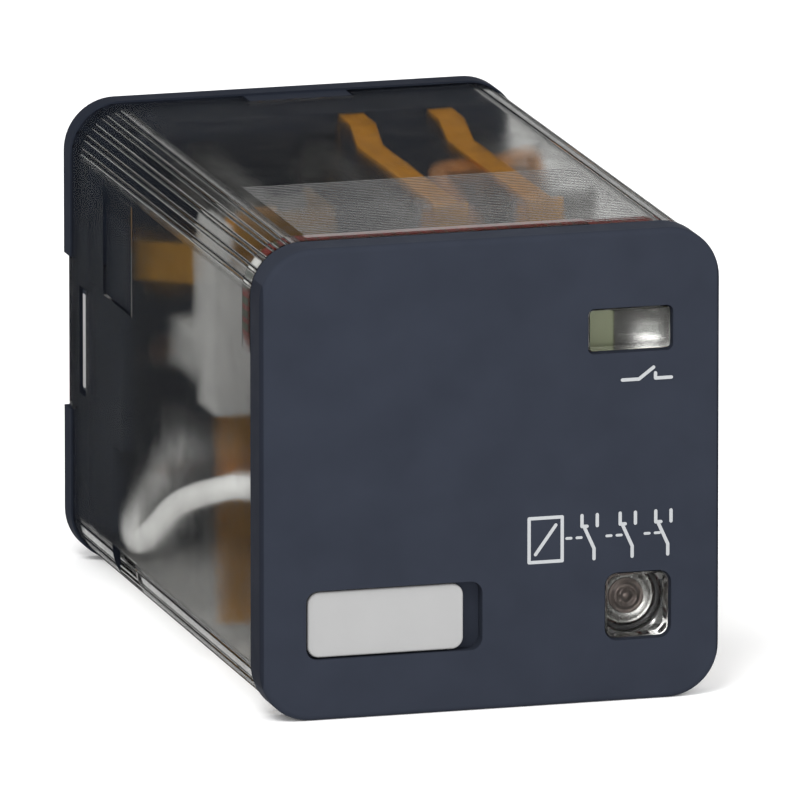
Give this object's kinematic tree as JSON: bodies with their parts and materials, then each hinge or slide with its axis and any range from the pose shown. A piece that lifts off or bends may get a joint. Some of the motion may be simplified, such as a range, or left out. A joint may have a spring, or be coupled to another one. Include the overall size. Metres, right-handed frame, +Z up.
{
  "type": "plug-in relay",
  "caption": "Plug-in relay with a round-pin base, a clear cover, change-over contacts and a front plate with a marking label.",
  "frame": {"origin": "centre of the base's socket face, on the axis of the pin circle", "axes": "+Y out of the socket face along the pins, -Y to the front face, +Z up, +X to the right as seen from the front"},
  "size_m": [0.036, 0.07, 0.0364],
  "materials": {
    "base_plastic": "fine-textured dark blue-grey moulding",
    "plate_plastic": "satin dark blue-grey moulding",
    "clear_cover": "clear slightly smoky moulding",
    "label_plastic": "light grey matt label",
    "zinc_steel": "zinc-plated soft iron",
    "spring_steel": "bright spring steel",
    "brass_plain": "plain",
    "brass_strip": "brass strip, dull",
    "tinned_strip": "tinned strip, dull",
    "white_insulator": "natural white insulating moulding",
    "copper_wire": "enamelled copper",
    "dark_tape": "dark coil tape",
    "copper_strip": "copper alloy, satin",
    "silver_contact": "silver alloy",
    "lead_sleeve": "white silicone sleeve",
    "lead_braid": "bare copper braid",
    "board_laminate": "dark red laminate",
    "led_lens": "clear lamp",
    "board_component": "small electronic parts",
    "lamp_collar": "pale grey collar",
    "flag_plastic": "pale green flag",
    "flag_metal": "bright, dished face",
    "pin_metal": "nickel-plated"
  },
  "bodies": {
    "relay": {"base": "base_plastic", "front_plate": "plate_plastic", "cover": "clear_cover", "yoke": "zinc_steel", "core": "zinc_steel", "hinge_clip": "spring_steel", "return_spring": "spring_steel", "yoke_screws": "spring_steel", "bobbin": "base_plastic", "winding": "copper_wire", "coil_wires": "copper_wire", "coil_wrap": "dark_tape", "resting_strip_left": "brass_strip", "resting_strip_centre": "copper_strip", "resting_strip_right": "copper_strip", "working_strip_left": "tinned_strip", "working_strip_centre": "tinned_strip", "working_strip_right": "tinned_strip", "resting_contacts": "silver_contact", "working_contacts": "silver_contact", "lead_left": "lead_sleeve", "lead_centre": "lead_braid", "lead_right": "lead_sleeve", "indicator_board": "board_laminate", "indicator_lamp": "led_lens", "lamp_cup": "lamp_collar", "board_parts": "board_component", "pin_01": "pin_metal", "pin_02": "pin_metal", "pin_03": "pin_metal", "pin_04": "pin_metal", "pin_05": "pin_metal", "pin_06": "pin_metal", "pin_07": "pin_metal", "pin_08": "pin_metal", "pin_09": "pin_metal", "pin_10": "pin_metal", "pin_11": "pin_metal"},
    "armature": {"armature": "zinc_steel", "contact_carrier": "white_insulator", "blade_clamp": "white_insulator", "carrier_rivets": "brass_plain", "moving_blade_left": "copper_strip", "moving_blade_centre": "copper_strip", "moving_blade_right": "copper_strip", "moving_contacts": "silver_contact", "indicator_flag": "flag_plastic", "flag_face": "flag_metal"},
    "label": {"label": "label_plastic"}
  },
  "joints": [
    {"name": "armature_hinge", "type": "hinge", "parent": "relay", "child": "armature", "pos_m": [0, -0.0358, -0.0126], "axis": [-1, 0, 0], "range_deg": [0, 3.3], "stiffness_Nm_per_rad": 0.01, "springref_deg": -6.88, "deforming": ["return_spring"]},
    {"name": "label_pull", "type": "slide", "parent": "relay", "child": "label", "axis": [0, -1, 0], "range_m": [0, 0.006]}
  ]
}
